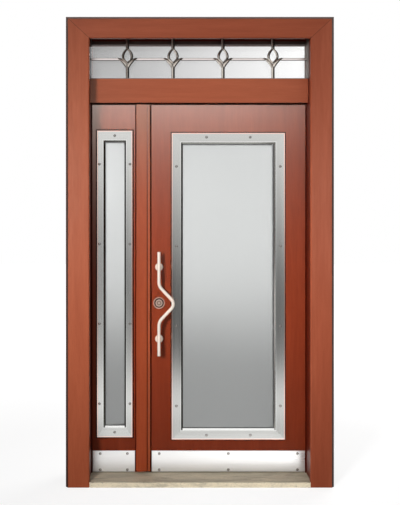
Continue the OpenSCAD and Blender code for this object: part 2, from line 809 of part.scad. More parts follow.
// The upper half of the bar's axis as [x, z, heading]. The heading is the angle away from straight
// down, towards +X. The bar runs straight, round the outer bend, along the leg and into the middle.
half_axis = concat(
    [[0, pull_len / 2 - bar_edge, 0]],
    [for (i = [0 : bar_steps]) let (a = leg_angle * i / bar_steps)
        [bend_r_end * (1 - cos(a)), bend_h + end_run - bend_r_end * sin(a), a]],
    [for (i = [0 : bar_steps]) let (a = leg_angle * (1 - i / bar_steps))
        [bend_out - bend_r_mid / cos(leg_angle) + bend_r_mid * cos(a), bend_r_mid * sin(a), a]]
);
bar_axis = concat(half_axis, [for (i = [len(half_axis) - 2 : -1 : 0])
    [half_axis[i][0], -half_axis[i][1], -half_axis[i][2]]]);

function bar_ring(p, r) = [for (i = [0 : bar_sides - 1]) let (a = 360 * i / bar_sides)
    [p[0] + r * cos(a) * cos(p[2]), r * sin(a), p[1] + r * cos(a) * sin(p[2])]];

// The bent bar, its axis in the X-Z plane and its bend towards +X
module bent_bar() {
    end = [0, pull_len / 2, 0];
    rings = concat([bar_ring(end, pull_d / 2 - bar_edge)],
                   [for (p = bar_axis) bar_ring(p, pull_d / 2)],
                   [bar_ring([0, -end[1], 0], pull_d / 2 - bar_edge)]);
    last = len(rings) - 1;
    polyhedron([for (r = rings) each r], concat(
        [[for (k = [0 : bar_sides - 1]) k]],
        [for (i = [0 : last - 1], k = [0 : bar_sides - 1]) let (n = (k + 1) % bar_sides)
            [bar_sides * i + k, bar_sides * (i + 1) + k, bar_sides * (i + 1) + n, bar_sides * i + n]],
        [[for (k = [bar_sides - 1 : -1 : 0]) bar_sides * last + k]]), convexity = 6);
}

module pull_bar() { translate([0, -pull_out, 0]) bent_bar(); }

// The two posts of a pull bar, with the discs at their feet in the plane y = 0.
// Each post ends in a saddle against the bar.
module pull_posts() {
    difference() {
        for (s = [-1, 1])
            translate([0, 0, s * post_pitch / 2]) rotate([90, 0, 0]) rotate_extrude()
                polygon([[0, 0], [disc_d / 2, 0], [disc_d / 2, disc_t - 2], [disc_d / 2 - 2, disc_t],
                         [post_d / 2, disc_t], [post_d / 2, pull_out], [0, pull_out]]);
        translate([0, -pull_out, -pull_len / 2]) cylinder(d = pull_d, h = pull_len);
    }
}

module at_outer_pull() { translate([pull_x, leaf_y, pull_z]) children(); }
module at_inner_pull() { translate([pull_x, wall_t, pull_z]) mirror([0, 1, 0]) children(); }

module pull_bar_outer() { color("linen") at_outer_pull() pull_bar(); }
module pull_bar_inner() { color("linen") at_inner_pull() pull_bar(); }
module pull_posts_outer() { color("silver") at_outer_pull() pull_posts(); }
module pull_posts_inner() { color("silver") at_inner_pull() pull_posts(); }

// ---------------------------------------------------------------- nodes

threshold();
jamb_left();
jamb_right();
frame_head();
transom_rail();
casing_left();
casing_right();
casing_head();
inner_casing_left();
inner_casing_right();
inner_casing_head();
fan_lining_head();
fan_lining_left();
fan_lining_right();
fan_lining_sill();
fan_glass();
fan_beads();
fan_bar();
fan_rod_1();
fan_rod_2();
fan_rod_3();
fan_rod_4();
side_leaf();
side_glass();
side_trim_outer();
side_trim_inner();
side_kick_outer();
side_kick_inner();
cover_strip();
side_hinges();
strike_plate();
flush_bolts();
main_hinge_posts();
main_leaf();
main_glass();
main_trim_outer();
main_trim_inner();
main_kick_outer();
main_kick_inner();
pull_bar_outer();
pull_bar_inner();
pull_posts_outer();
pull_posts_inner();
lock_rosette_outer();
lock_rosette_inner();
lock_cylinder();
lock_faceplate();
main_hinge_flaps();
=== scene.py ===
"""Looks, light and camera for the entrance door set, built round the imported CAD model.

Lengths are in metres, +X is to the right, +Y into the building and +Z up. Places come from the CAD
nodes' boxes. Tones are 8-bit screen values."""
import math

import bpy
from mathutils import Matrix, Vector

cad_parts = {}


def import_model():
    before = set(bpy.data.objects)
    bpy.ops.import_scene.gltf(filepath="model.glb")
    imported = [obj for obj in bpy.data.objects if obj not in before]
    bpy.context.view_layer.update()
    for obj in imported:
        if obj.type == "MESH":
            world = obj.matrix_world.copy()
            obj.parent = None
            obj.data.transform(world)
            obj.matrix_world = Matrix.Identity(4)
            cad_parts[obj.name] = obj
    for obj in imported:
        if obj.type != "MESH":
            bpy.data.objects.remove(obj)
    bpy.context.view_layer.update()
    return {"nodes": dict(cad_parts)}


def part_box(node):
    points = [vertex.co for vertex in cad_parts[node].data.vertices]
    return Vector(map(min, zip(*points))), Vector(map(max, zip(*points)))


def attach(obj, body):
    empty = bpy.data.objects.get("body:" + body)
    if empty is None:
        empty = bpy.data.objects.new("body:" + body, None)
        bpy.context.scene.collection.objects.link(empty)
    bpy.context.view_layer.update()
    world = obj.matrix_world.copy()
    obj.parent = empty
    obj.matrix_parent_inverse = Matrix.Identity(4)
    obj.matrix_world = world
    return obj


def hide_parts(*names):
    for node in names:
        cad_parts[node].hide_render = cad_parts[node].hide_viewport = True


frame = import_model()
nodes = frame["nodes"]
MM = 0.001


def low(node):
    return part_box(node)[0]


def high(node):
    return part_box(node)[1]


# ---------------------------------------------------------------- main lines, from the CAD

face_y = low("main_leaf").y
back_y = high("main_leaf").y
rail_foot = low("transom_rail").z


# ---------------------------------------------------------------- materials

class Nodes:
    """A node tree with one short call for each node that it needs."""

    def __init__(self, tree):
        self.tree = tree

    def add(self, kind, inputs, **settings):
        made = self.tree.nodes.new("ShaderNode" + kind)
        for key, value in settings.items():
            setattr(made, key, value)
        for key, value in inputs.items():
            self.put(made, key, value)
        return made

    def put(self, made, key, value):
        socket = made.inputs[key]
        if isinstance(value, bpy.types.NodeSocket):
            self.tree.links.new(value, socket)
        else:
            socket.default_value = value

    def point(self, scale, offset=(0, 0, 0)):
        """The object's own coordinates in metres, stretched and moved."""
        where = self.add("TexCoord", {}).outputs["Object"]
        return self.add("Mapping", {"Vector": where, "Scale": scale,
                                    "Location": offset}).outputs[0]

    def noise(self, point, scale, detail=3.0, rough=0.5, distort=0.0):
        return self.add("TexNoise", {"Vector": point, "Scale": scale, "Detail": detail,
                                     "Roughness": rough, "Distortion": distort}).outputs["Fac"]

    def cells(self, point, scale):
        return self.add("TexVoronoi", {"Vector": point, "Scale": scale}).outputs["Distance"]

    def ramp(self, value, stops):
        """A colour ramp through (position, colour) stops."""
        made = self.add("ValToRGB", {"Fac": value})
        line = made.color_ramp
        while len(line.elements) < len(stops):
            line.elements.new(0.5)
        for element, (at, colour) in zip(line.elements, stops):
            element.position = at
            element.color = (*colour, 1)
        return made.outputs["Color"]

    def curve(self, value, span, stops):
        """A value that runs through (position, level) stops, over a span from 0."""
        scaled = self.math("DIVIDE", value, span)
        return self.grey(self.ramp(scaled, [(at / span, (v, v, v)) for at, v in stops]))

    def grey(self, colour):
        return self.add("RGBToBW", {"Color": colour}).outputs[0]

    def band(self, value, lo, hi, out_lo=0.0, out_hi=1.0):
        return self.add("MapRange", {"Value": value, "From Min": lo, "From Max": hi,
                                     "To Min": out_lo, "To Max": out_hi}).outputs["Result"]

    def lerp(self, fac, a, b):
        made = self.add("Mix", {"Factor": fac}, data_type="FLOAT")
        self.put(made, 2, a)
        self.put(made, 3, b)
        return made.outputs[0]

    def either(self, fac, a, b):
        """One of two vectors."""
        made = self.add("Mix", {0: fac}, data_type="VECTOR")
        self.put(made, 4, a)
        self.put(made, 5, b)
        return made.outputs[1]

    def mix(self, fac, a, b, blend="MIX"):
        made = self.add("Mix", {"Factor": fac}, data_type="RGBA", blend_type=blend)
        for key, value in ((6, a), (7, b)):
            if isinstance(value, tuple) and len(value) == 3:
                value = (*value, 1)
            self.put(made, key, value)
        return made.outputs[2]

    def math(self, how, a, b=0.0):
        return self.add("Math", {0: a, 1: b}, operation=how).outputs[0]

    def off(self, value, middle):
        """How far a value lies from a middle."""
        return self.math("ABSOLUTE", self.math("SUBTRACT", value, middle))

    def xyz(self):
        """The object's own coordinates one by one."""
        where = self.add("TexCoord", {}).outputs["Object"]
        return self.add("SeparateXYZ", {0: where}).outputs

    def between(self, value, lo, hi, soft=1 * MM):
        """1 between two levels, and 0 outside."""
        return self.math("MULTIPLY", self.band(value, lo - soft, lo),
                         self.band(value, hi + soft, hi))

    def light(self, strength):
        return self.add("Emission", {"Strength": strength}).outputs[0]

    def bump(self, height, distance, strength):
        return self.add("Bump", {"Height": height, "Distance": distance,
                                 "Strength": strength}).outputs["Normal"]


class Shader(Nodes):
    """The nodes of a new material round its Principled BSDF."""

    def __init__(self, name):
        self.material = bpy.data.materials.new(name)
        self.material.use_nodes = True
        super().__init__(self.material.node_tree)
        self.bsdf = self.tree.nodes["Principled BSDF"]

    def shade(self, **inputs):
        for key, value in inputs.items():
            self.put(self.bsdf, key.replace("_", " "), value)
        return self.material


def srgb(r, g, b):
    """A colour given as 8-bit screen values, as linear light."""
    def line(v):
        v /= 255
        return v / 12.92 if v <= 0.04045 else ((v + 0.055) / 1.055) ** 2.4
    return line(r), line(g), line(b)


def wood(name, along, tone, shift=0.0, rough=0.45, glint=0.38, coat=0.05, lines=(), foot=1.0,
         mid=1.0):
    """Stained and lacquered veneer with its grain along one axis. The stain tints its sheen, and
    the coat of lacquer over it stays clear. lines are places with a colour of their own: joints,
    stain, and painted shade, highlight and sheen. foot is the share of its tone left at the floor,
    as painted shade. mid is the share of its gloss at mid-height, for wood darker at the floor."""
    s = Shader(name)
    run = {"x": (1, 12, 12), "z": (12, 12, 1)}[along]
    fine = tuple(5 * v if v > 1 else 3 for v in run)
    offset = (shift, shift * 0.7, shift * 1.3)
    broad = s.noise(s.point(run, offset), 1.1, 4, 0.55, 0.6)
    grain = s.noise(s.point(run, offset), 9, 6, 0.62, 0.4)
    pores = s.noise(s.point(fine, offset), 9, 3, 0.6)
    r, g, b = srgb(*tone)
    deep = (r * 0.72, g * 0.60, b * 0.52)
    pale = (r * 1.14, g * 1.20, b * 1.22)
    body = s.ramp(broad, [(0.30, tuple(v * 0.5 + w * 0.5 for v, w in zip(deep, (r, g, b)))),
                          (0.52, (r, g, b)), (0.74, pale)])
    streak = s.band(grain, 0.36, 0.66, 0.0, 0.30)
    body = s.mix(streak, body, deep)
    pore = s.band(pores, 0.60, 0.74, 0.0, 0.35)
    body = s.mix(pore, body, tuple(v * 0.6 for v in deep))
    # The lines' tones are stains, dark joints, and painted shade, highlights and sheen.
    for where, stain in lines:
        body = s.mix(where(s), body, srgb(*stain))
    # Painted shade: the tone darkens towards the floor, to the share foot of itself there.
    if foot < 1:
        up = s.xyz()["Z"]
        level = s.curve(up, 3, [(0.1, foot), (0.35, (1 + foot) / 2), (0.8, 1.0), (3.0, 1.0)])
        body = s.mix(1.0, body, level, "MULTIPLY")
        worn = s.curve(up, 3, [(0.1, 0.4), (0.6, 0.3 + 0.4 * mid), (1.1, mid), (1.6, 1.0),
                               (3.0, 1.0)])
        glint, coat = s.math("MULTIPLY", worn, glint), s.math("MULTIPLY", worn, coat)
    uneven = s.band(grain, 0.3, 0.7, rough - 0.05, rough + 0.06)
    relief = s.bump(s.math("SUBTRACT", grain, s.math("MULTIPLY", pore, 1.5)), 0.3 * MM, 0.35)
    return s.shade(Base_Color=body, Roughness=uneven, Normal=relief, Specular_IOR_Level=glint,
                   Specular_Tint=(1.0, 0.72, 0.55, 1), Coat_Weight=coat, Coat_Roughness=0.28)


def casing_rim(s):
    """Dark stain and painted shade on the bevel round the outer edges of the casing."""
    at = s.xyz()
    beside = s.math("SUBTRACT", s.math("ABSOLUTE", at["X"]), high("casing_right").x - CASING_BEVEL)
    above = s.math("SUBTRACT", at["Z"], high("casing_head").z - CASING_BEVEL)
    return s.band(s.math("MAXIMUM", beside, above), -1 * MM, 1 * MM)


def casing_mitre(s):
    """The joint between the head of the casing and its sides."""
    at = s.xyz()
    corner_x, corner_z = high("casing_right").x, high("casing_head").z
    leg_w = corner_x - low("casing_right").x
    head_h = corner_z - low("casing_head").z
    across = s.math("DIVIDE", s.math("SUBTRACT", corner_x, s.math("ABSOLUTE", at["X"])), leg_w)
    down = s.math("DIVIDE", s.math("SUBTRACT", corner_z, at["Z"]), head_h)
    apart = s.math("MULTIPLY", s.off(across, down), leg_w * head_h / math.hypot(leg_w, head_h))
    return s.band(apart, 1.6 * MM, 0.6 * MM)


# Painted shade on the rail's underside.
def rail_underside_shade(s):
    return s.band(s.xyz()["Z"], rail_foot + 1 * MM, rail_foot + 0.3 * MM)


def strip_top(s):
    """The upper part of the cover strip, which is painted paler as a sheen."""
    return s.band(s.xyz()["Z"], PALE_FROM, PALE_FULL, 0.0, 0.8)


def upright_line(x0, x1):
    """An upright line on a board, from x0 to x1."""
    return lambda s: s.between(s.xyz()["X"], x0, x1)


def steel(name, tone, brush, rough, stretch=0.6, metal=1.0, rings=None):
    """Brushed stainless steel. brush gives a point in space that is stretched along the brushing,
    and the direction across it, which its highlights spread along. rings colours parts of it."""
    s = Shader(name)
    point, across = brush(s)
    scratch = s.noise(point, 260, 4, 0.7)
    streaks = s.noise(point, 22, 4, 0.6)
    base = srgb(*tone)
    colour = s.mix(s.band(streaks, 0.3, 0.7), tuple(v * 0.90 for v in base), base)
    if rings:
        colour = rings(s, colour)
    colour = s.mix(s.band(scratch, 0.35, 0.8, 0.0, 0.25), colour, tuple(v * 0.72 for v in base))
    turned = s.add("VectorTransform", {0: across}, vector_type="VECTOR",
                   convert_from="OBJECT", convert_to="WORLD").outputs[0]
    return s.shade(Base_Color=colour, Metallic=metal, Anisotropic=stretch, Tangent=turned,
                   Roughness=s.band(streaks, 0.3, 0.7, rough - 0.04, rough + 0.04),
                   Normal=s.bump(scratch, 0.05 * MM, 0.25))


RUN = {"x": (0.02, 1, 1), "z": (1, 1, 0.02)}
ACROSS = {"x": (0, 0, 1), "z": (1, 0, 0)}


def brushed(axis):
    """Brushing along one axis."""
    return lambda s: (s.point(RUN[axis]), ACROSS[axis])


def brushed_frame(node, strip, end):
    """Brushing along each strip of a mitred frame that stands in the X-Z plane."""
    lo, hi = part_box(node)
    cx, cz = (lo.x + hi.x) / 2, (lo.z + hi.z) / 2
    half_w, half_h = (hi.x - lo.x) / 2, (hi.z - lo.z) / 2

    def brush(s):
        at = s.xyz()
        from_side = s.math("SUBTRACT", half_w, s.off(at["X"], cx))
        from_end = s.math("SUBTRACT", half_h, s.off(at["Z"], cz))
        upright = s.math("GREATER_THAN", s.math("DIVIDE", from_end, end),
                         s.math("DIVIDE", from_side, strip))
        return (s.either(upright, s.point(RUN["x"], (5, 0, 0)), s.point(RUN["z"])),
                s.either(upright, ACROSS["x"], ACROSS["z"]))
    return brush


def painted_trim_light(node, strip, end):
    """Painted highlights along the rounded outer and inner edges of a trim, and painted shade and
    reflection on the bevel to the glass, which is darker at the top and on the left."""
    lo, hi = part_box(node)
    half_w, half_h = (hi.x - lo.x) / 2, (hi.z - lo.z) / 2
    left, right, top = BEVEL_TONES[node.rsplit("_", 1)[0]]

    def rings(s, colour):
        at = s.xyz()
        side, rise = s.off(at["X"], (lo.x + hi.x) / 2), s.off(at["Z"], (lo.z + hi.z) / 2)
        out = s.math("MAXIMUM", s.math("SUBTRACT", side, half_w), s.math("SUBTRACT", rise, half_h))
        opening = s.math("MAXIMUM", s.math("SUBTRACT", side, half_w - strip),
                         s.math("SUBTRACT", rise, half_h - end))
        colour = s.mix(s.band(opening, LIP_END, LIP_FULL), colour, srgb(*TRIM_LIP))
        inside = s.band(opening, 0.5 * MM, 0.0)
        edge = TRIM_BEVEL + 0.3 * MM
        for beyond, tone in ((s.math("SUBTRACT", hi.x - strip - edge, at["X"]), right),
                             (s.math("SUBTRACT", at["X"], lo.x + strip + edge), left),
                             (s.math("SUBTRACT", hi.z - end - edge, at["Z"]), top)):
            mask = s.math("MULTIPLY", inside, s.band(beyond, 0.2 * MM, 0.0))
            colour = s.mix(mask, colour, srgb(*tone))
        return s.mix(s.band(out, -EDGE_END, -EDGE_FULL), colour, srgb(*TRIM_EDGE))
    return rings


def rosette_painted_light(node):
    """Painted rings of light and shade on a lock rosette and its cylinder, round their middle."""
    lo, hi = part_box(node)

    def rings(s, colour):
        at = s.xyz()
        dx = s.math("SUBTRACT", at["X"], (lo.x + hi.x) / 2)
        dz = s.math("SUBTRACT", at["Z"], (lo.z + hi.z) / 2)
        r = s.math("SQRT", s.math("ADD", s.math("MULTIPLY", dx, dx), s.math("MULTIPLY", dz, dz)))
        for inner, outer, tone in ROSETTE_RINGS:
            colour = s.mix(s.between(r, inner * MM, outer * MM, 0.5 * MM), colour, srgb(*tone))
        return colour
    return rings


def painted_face_shade(toward):
    """Painted shade on the faces that are turned in a direction."""
    def rings(s, colour):
        normal = s.add("TexCoord", {}).outputs["Normal"]
        turned = s.add("VectorMath", {0: normal, 1: toward}, operation="DOT_PRODUCT").outputs
        return s.mix(s.band(turned["Value"], 0.12, 0.34), colour, srgb(*FACE_SHADE))
    return rings


def frosted(name, tone, rough, clear=0.9, mottle=0.03):
    """Satin-etched glass: an even milky sheet with a fine frost."""
    s = Shader(name)
    cloud = s.noise(s.point((1, 1, 1)), 1.8, 3, 0.5)
    frost = s.noise(s.point((1, 1, 1)), 900, 2, 0.6)
    base = srgb(*tone)
    colour = s.mix(s.band(cloud, 0.3, 0.7), tuple(v * (1 - mottle) for v in base), base)
    return s.shade(Base_Color=colour, Roughness=s.band(cloud, 0.3, 0.7, rough, rough + 0.05),
                   Transmission_Weight=clear, IOR=1.5, Specular_IOR_Level=0.3,
                   Normal=s.bump(frost, 0.05 * MM, 0.2))


def painted_metal(name, tone, top=None):
    """Painted metal. top gives a height and the colour above it."""
    s = Shader(name)
    wear = s.noise(s.point((1, 1, 1)), 18, 5, 0.6)
    grit = s.noise(s.point((1, 1, 1)), 700, 2, 0.5)
    base = srgb(*tone)
    colour = s.mix(s.band(wear, 0.45, 0.75), base, tuple(v * 1.35 for v in base))
    if top:
        split, above = top
        colour = s.mix(s.band(s.xyz()["Z"], split - 1 * MM, split + 1 * MM), colour, srgb(*above))
    return s.shade(Base_Color=colour, Metallic=0.6, Roughness=s.band(wear, 0.3, 0.7, 0.37, 0.50),
                   Normal=s.bump(grit, 0.05 * MM, 0.3))


def stone(name, tone):
    """Honed limestone with soft clouds, small dark pits, and trodden dirt on its upper side."""
    s = Shader(name)
    here = s.point((1, 1, 1))
    cloud = s.noise(s.point((0.5, 2.4, 2.4)), 9, 7, 0.68, 1.0)
    speck = s.cells(here, 230)
    pits = s.noise(here, 120, 5, 0.7)
    base = srgb(*tone)
    colour = s.ramp(cloud, [(0.32, tuple(v * 0.55 for v in base)), (0.50, base),
                            (0.75, tuple(min(1, v * 1.2) for v in base))])
    colour = s.mix(s.band(speck, 0.0, 0.28, 0.30, 0.0), colour, tuple(v * 0.45 for v in base))
    colour = s.mix(s.band(pits, 0.54, 0.68, 0.0, 0.6), colour, tuple(v * 0.4 for v in base))
    up = s.add("SeparateXYZ", {0: s.add("TexCoord", {}).outputs["Normal"]}).outputs["Z"]
    trodden = s.math("MULTIPLY", s.band(up, 0.5, 0.9), s.band(cloud, 0.2, 0.7, 0.75, 0.45))
    colour = s.mix(trodden, colour, tuple(v * 0.25 for v in base))
    return s.shade(Base_Color=colour, Roughness=s.band(cloud, 0.3, 0.7, 0.5, 0.7),
                   Normal=s.bump(s.math("SUBTRACT", cloud, pits), 0.8 * MM, 0.4))


def rubber(name, tone, sheen=0.2):
    """Matt rubber with a little dust on it."""
    s = Shader(name)
    dust = s.noise(s.point((1, 1, 1)), 60, 4, 0.6)
    base = srgb(*tone)
    colour = s.mix(s.band(dust, 0.5, 0.8), base, tuple(v * 1.6 + 0.004 for v in base))
    return s.shade(Base_Color=colour, Roughness=0.7, Specular_IOR_Level=sheen,
                   Normal=s.bump(dust, 0.1 * MM, 0.3))


def dress(material, *names):
    """Gives CAD nodes a finished material."""
    for name in names:
        slots = nodes[name].data.materials
        slots.clear()
        slots.append(material)


CASING = (160, 80, 52)
# The frame's tone is darkened as painted shade, for the jambs and beads in the shaded reveal.
FRAME = (92, 30, 16)
LEAF = (131, 52, 28)
CASING_BEVEL = 14 * MM
# Tones for the casing's mitre joints, and for its outer bevel: stain and painted shade.
rim = [(casing_mitre, (84, 34, 20)), (casing_rim, (52, 18, 9))]
# The right leg and the head get darker tones than the left leg, and the right leg a lower foot, as
# painted shade where less light falls.
dress(wood("casing_left_wood", "z", CASING, 1.0, lines=rim, foot=0.93), "casing_left")
dress(wood("casing_right_wood", "z", (154, 76, 51), 4.0, lines=rim, foot=0.82), "casing_right")
dress(wood("casing_head_wood", "x", (153, 74, 48), 2.0, lines=rim), "casing_head")
dress(wood("inner_casing_wood_up", "z", CASING, 7.0), "inner_casing_left", "inner_casing_right")
dress(wood("inner_casing_wood_across", "x", CASING, 8.0), "inner_casing_head")
dress(wood("frame_wood_up", "z", FRAME, 3.0), "jamb_left", "jamb_right")
dress(wood("frame_wood_across", "x", FRAME, 5.0), "frame_head", "fan_beads")
dress(wood("rail_wood", "x", CASING, 6.0, lines=[(rail_underside_shade, (30, 8, 3))]), "transom_rail")
for leaf, shift in (("main_leaf", 9.0), ("side_leaf", 11.0)):
    dress(wood(f"{leaf}_wood", "z", LEAF, shift, rough=0.36, glint=0.1, coat=0.17, foot=0.74,
               mid=0.6), leaf)

# The cover strip's groove, darkened with stain and painted shade, and the edge beside it, painted
# pale as a highlight, as distances from the strip's right edge
GROOVE_FROM, GROOVE_TO, LEDGE_FROM, LEDGE_TO = 20 * MM, 12.5 * MM, 11 * MM, 2 * MM
# Heights between which the strip gets paler upwards, as a painted sheen
PALE_FROM, PALE_FULL = 1.6, 2.0
strip_x1 = high("cover_strip").x
groove = [(upright_line(strip_x1 - GROOVE_FROM, strip_x1 - GROOVE_TO), (104, 40, 17)),
          (upright_line(strip_x1 - LEDGE_FROM, strip_x1 - LEDGE_TO), (160, 78, 48)),
          (strip_top, (126, 64, 43))]
dress(wood("strip_wood", "z", (149, 66, 37), 13.0, rough=0.38, glint=0.12, coat=0.08, lines=groove,
           foot=0.95), "cover_strip")
dress(stone("threshold_stone", (232, 218, 190)), "threshold")

# Widths of each trim's strips, at its sides and at its ends, up to the bevel
TRIM_STRIPS = {"main_trim": (55 * MM, 55 * MM), "side_trim": (38 * MM, 57 * MM)}
# The side trim's steel is paler than the main trim's, as painted light.
TRIM_TONES = {"main_trim": (204, 204, 201), "side_trim": (212, 212, 209)}
TRIM_BEVEL = 8 * MM
# The bevel's painted shade and reflection on the left, on the right and at the top
BEVEL_TONES = {"main_trim": ((66, 65, 61), (176, 175, 172), (118, 118, 114)),
               "side_trim": ((66, 65, 61), (124, 123, 120), (100, 99, 96))}
# Painted highlights: a pinkish one on the trims' rounded outer edges, and a pale one on their lips
TRIM_EDGE, TRIM_LIP = (248, 214, 202), (224, 225, 222)
# How far from an edge the painted highlights are full, and where they end
EDGE_FULL, EDGE_END = 4 * MM, 9 * MM
LIP_FULL, LIP_END = 3 * MM, 6 * MM
for side in ("outer", "inner"):
    for trim, (strip, end) in TRIM_STRIPS.items():
        node = f"{trim}_{side}"
        dress(steel(f"{trim}_steel_{side}", TRIM_TONES[trim], brushed_frame(node, strip, end), 0.2,
                    stretch=0.4, rings=painted_trim_light(node, strip, end)), node)
dress(steel("kick_steel", (236, 235, 234), brushed("x"), 0.30, stretch=0.75, metal=0.75),
      "main_kick_outer", "main_kick_inner", "side_kick_outer", "side_kick_inner")
# The bar's warm pale tone paints the wood's pinkish reflection in it.
pull_steel = steel("pull_bar_steel", (255, 240, 226), brushed("z"), 0.42, stretch=0.1, metal=0.45)
hinge_steel = steel("hinge_steel", (186, 184, 182), brushed("z"), 0.32)
# Inner and outer radius in mm and tone of each painted ring, from the cylinder outwards:
# highlights, the wood's pinkish reflection, and shade in the recess round the cylinder
ROSETTE_RINGS = ((0, 4, (226, 204, 190)), (8, 12, (160, 134, 120)), (16, 20, (236, 212, 198)),
                 (20.5, 27, (56, 20, 10)), (28, 36, (246, 200, 182)))
# The steel's pinkish tone paints the wood's reflection in it.
lock_steel = steel("lock_steel", (206, 180, 166), brushed("x"), 0.3,
                   rings=rosette_painted_light("lock_rosette_outer"))
dress(lock_steel, "lock_rosette_outer", "lock_rosette_inner", "lock_cylinder")
dress(hinge_steel, "lock_faceplate", "strike_plate", "flush_bolts", "main_hinge_posts",
      "main_hinge_flaps", "side_hinges")
dress(pull_steel, "pull_bar_outer", "pull_bar_inner", "pull_posts_outer", "pull_posts_inner")

dress(frosted("leaf_glass", (219, 221, 220), 0.28), "main_glass")
# The side pane is given a darker tone than the main pane, as painted shade.
dress(frosted("side_leaf_glass", (214, 216, 215), 0.28), "side_glass")
dress(frosted("fan_glass", (255, 255, 255), 0.14, 1.0, 0.01), "fan_glass")
# The fanlight's linings are one grey metal, painted with shade: dark on the left and at the head,
# which face away from the light, with a dark red band along the head's top painted as shaded wood.
LINING_SPLIT = 19 * MM
lining_split = low("fan_lining_head").z + LINING_SPLIT
dress(painted_metal("lining_head_dark", (92, 76, 70), top=(lining_split, (110, 30, 16))),
      "fan_lining_head")
dress(painted_metal("lining_left_dark", (34, 28, 26)), "fan_lining_left")
dress(painted_metal("lining_grey", (128, 114, 108)), "fan_lining_right", "fan_lining_sill")
# Tone of the painted shade on the bar's underside and on the rods' right and lower faces
FACE_SHADE = (52, 44, 40)
bar_steel = steel("fan_bar_steel", (250, 240, 236), brushed("x"), 0.35,
                  rings=painted_face_shade((0, 0, -1)))
dress(bar_steel, "fan_bar")
rod_steel = steel("fan_rod_steel", (214, 206, 196), brushed("z"), 0.26, stretch=0.2, metal=0.85,
                  rings=painted_face_shade((0.8, 0, -0.6)))
dress(rod_steel, "fan_rod_1", "fan_rod_2", "fan_rod_3", "fan_rod_4")
# The dark rubber of the seals and rings that stand in for shadow round the trims and screws.
seal_rubber = rubber("seal_rubber", (30, 10, 5), 0.1)
brown_rubber = rubber("brown_rubber", (66, 14, 4), 0.05)
glazing_rubber = rubber("glazing_rubber", (34, 34, 32), 0.0)
# Its grey shows through the frosted glass as the pane's shaded foot.
glazing_silicone = rubber("glazing_silicone", (190, 191, 189), 0.0)


# ---------------------------------------------------------------- making pieces

def piece(name, points, faces, body, material, sharp=32):
    """A mesh piece that rides on a body, smooth across edges flatter than the angle."""
    mesh = bpy.data.meshes.new(name)
    mesh.from_pydata([tuple(p) for p in points], [], faces)
    mesh.validate()
    mesh.update()
    mesh.shade_smooth()
    mesh.set_sharp_from_angle(angle=math.radians(sharp))
    mesh.materials.append(material)
    made = bpy.data.objects.new(name, mesh)
    bpy.context.scene.collection.objects.link(made)
    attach(made, body)
    return made


def tube_faces(rings, sides, first=0):
    """Faces of a closed tube of rings, with both ends capped."""
    faces = [tuple(first + k for k in range(sides))]
    for i in range(rings - 1):
        for k in range(sides):
            a, b = first + i * sides + k, first + i * sides + (k + 1) % sides
            faces.append((a, a + sides, b + sides, b))
    last = first + (rings - 1) * sides
    faces.append(tuple(last + k for k in reversed(range(sides))))
    return faces


# ---------------------------------------------------------------- pull bars

BEND_OUT, BEND_H, BEND_R_MID, BEND_R_END = 94 * MM, 100 * MM, 38 * MM, 60 * MM
BAR_SIDES, ARC_STEPS = 32, 16
# How far each ring of a bar's rounded end lies before the end, and by how much it is thinner
BAR_END = ((2 * MM, 0.0), (0.6 * MM, 0.6 * MM), (0.0, 2 * MM))


def bar_axis(half_len):
    """The upper half of a bent bar's axis as (x, z, heading), from its end to its middle."""
    angle = math.atan2(BEND_OUT, BEND_H)
    start = BEND_H + BEND_R_END * math.tan(angle / 2)
    centre = BEND_OUT - BEND_R_MID / math.cos(angle)
    axis = [(0, half_len, 0)]
    for i in range(ARC_STEPS + 1):
        a = angle * i / ARC_STEPS
        axis.append((BEND_R_END * (1 - math.cos(a)), start - BEND_R_END * math.sin(a), a))
    for i in range(ARC_STEPS + 1):
        a = angle * (1 - i / ARC_STEPS)
        axis.append((centre + BEND_R_MID * math.cos(a), BEND_R_MID * math.sin(a), a))
    return axis


def pull_bar(name, node):
    lo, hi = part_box(node)
    radius = (hi.y - lo.y) / 2
    x, y, z = lo.x + radius, (lo.y + hi.y) / 2, (lo.z + hi.z) / 2
    half = (hi.z - lo.z) / 2
    upper = bar_axis(half - BAR_END[0][0])
    axis = [(px, pz, a, radius) for px, pz, a in upper]
    axis += [(px, -pz, -a, radius) for px, pz, a in reversed(upper[:-1])]
    for drop, thinner in BAR_END[1:]:
        axis.insert(0, (0, half - drop, 0, radius - thinner))
        axis.append((0, -half + drop, 0, radius - thinner))
    points = []
    for px, pz, a, r in axis:
        for k in range(BAR_SIDES):
            t = 2 * math.pi * k / BAR_SIDES
            points.append((x + px + r * math.cos(t) * math.cos(a), y + r * math.sin(t),
                           z + pz + r * math.cos(t) * math.sin(a)))
    made = piece(name, points, tube_faces(len(axis), BAR_SIDES), "main_leaf",
                 pull_steel)
    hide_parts(node)


pull_bar("pull_bar_smooth_outer", "pull_bar_outer")
pull_bar("pull_bar_smooth_inner", "pull_bar_inner")


# ---------------------------------------------------------------- tulips and bar of the fanlight

LOOP_H, LOOP_W, STRAND_W = 79 * MM, 50 * MM, 15 * MM
LOOP_TOP, LOOP_FOOT, PETAL_FOOT = 0.72 * LOOP_H, -0.28 * LOOP_H, -0.6 * LOOP_H
PETAL_SPAN, PETAL_W, PETAL_TIP_W, PETAL_T = 112 * MM, 20 * MM, 1.5 * MM, 12 * MM
PETAL_RIDGE = -0.35
LOZENGE_POINTS = 12
ROD_W, ROD_D = 20 * MM, 13 * MM
# How far the bar's lengths run into a tulip, and the width of its flat and depth of its bevels
BAR_LAP, BAR_FLAT, BAR_BEVEL = 12 * MM, 9 * MM, 2 * MM


